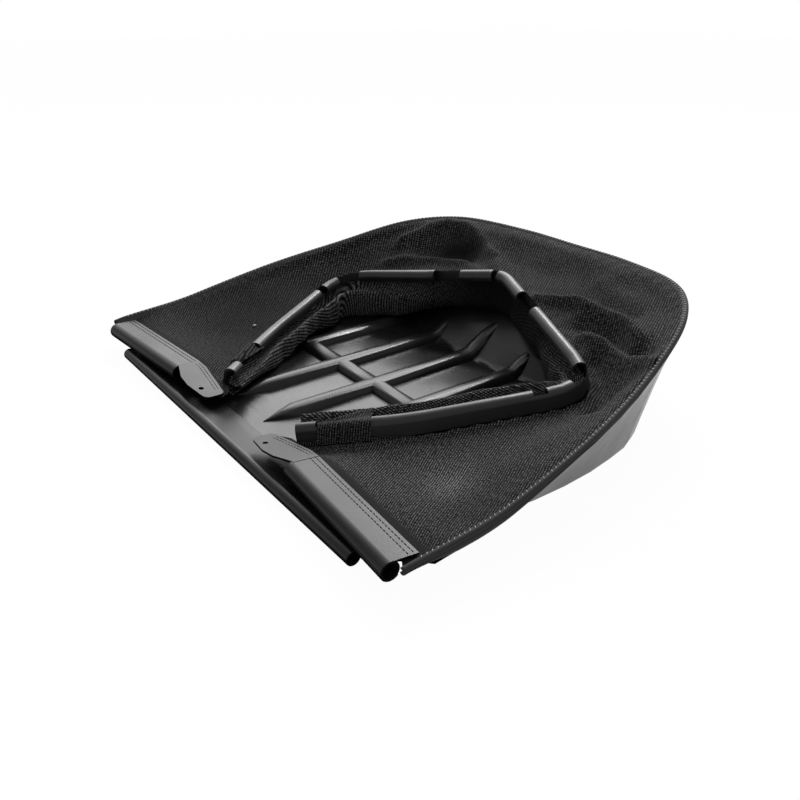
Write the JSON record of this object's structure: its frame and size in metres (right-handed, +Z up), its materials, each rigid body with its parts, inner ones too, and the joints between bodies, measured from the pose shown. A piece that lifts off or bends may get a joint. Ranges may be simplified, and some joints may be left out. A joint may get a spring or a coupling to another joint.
{
  "type": "grass collection bag",
  "caption": "Shallow ribbed plastic tray with a folded mesh bag on its rim and hooked clip strips round the mouth that clip onto a frame; collects cut grass.",
  "frame": {"origin": "middle of the part's footprint, on the ground under the tray", "axes": "+Z up, -Y towards the open front with the front clip, +X to the right seen from the front"},
  "size_m": [0.4974, 0.4184, 0.0959],
  "materials": {
    "tray": "satin black",
    "clip": "satin black",
    "mesh": "black knitted mesh"
  },
  "bodies": {
    "root": {"base_tray": "tray", "front_clip": "clip", "side_clip_right": "clip", "side_clip_left": "clip", "mouth_clip": "clip", "mesh_bag": "mesh"}
  },
  "joints": []
}
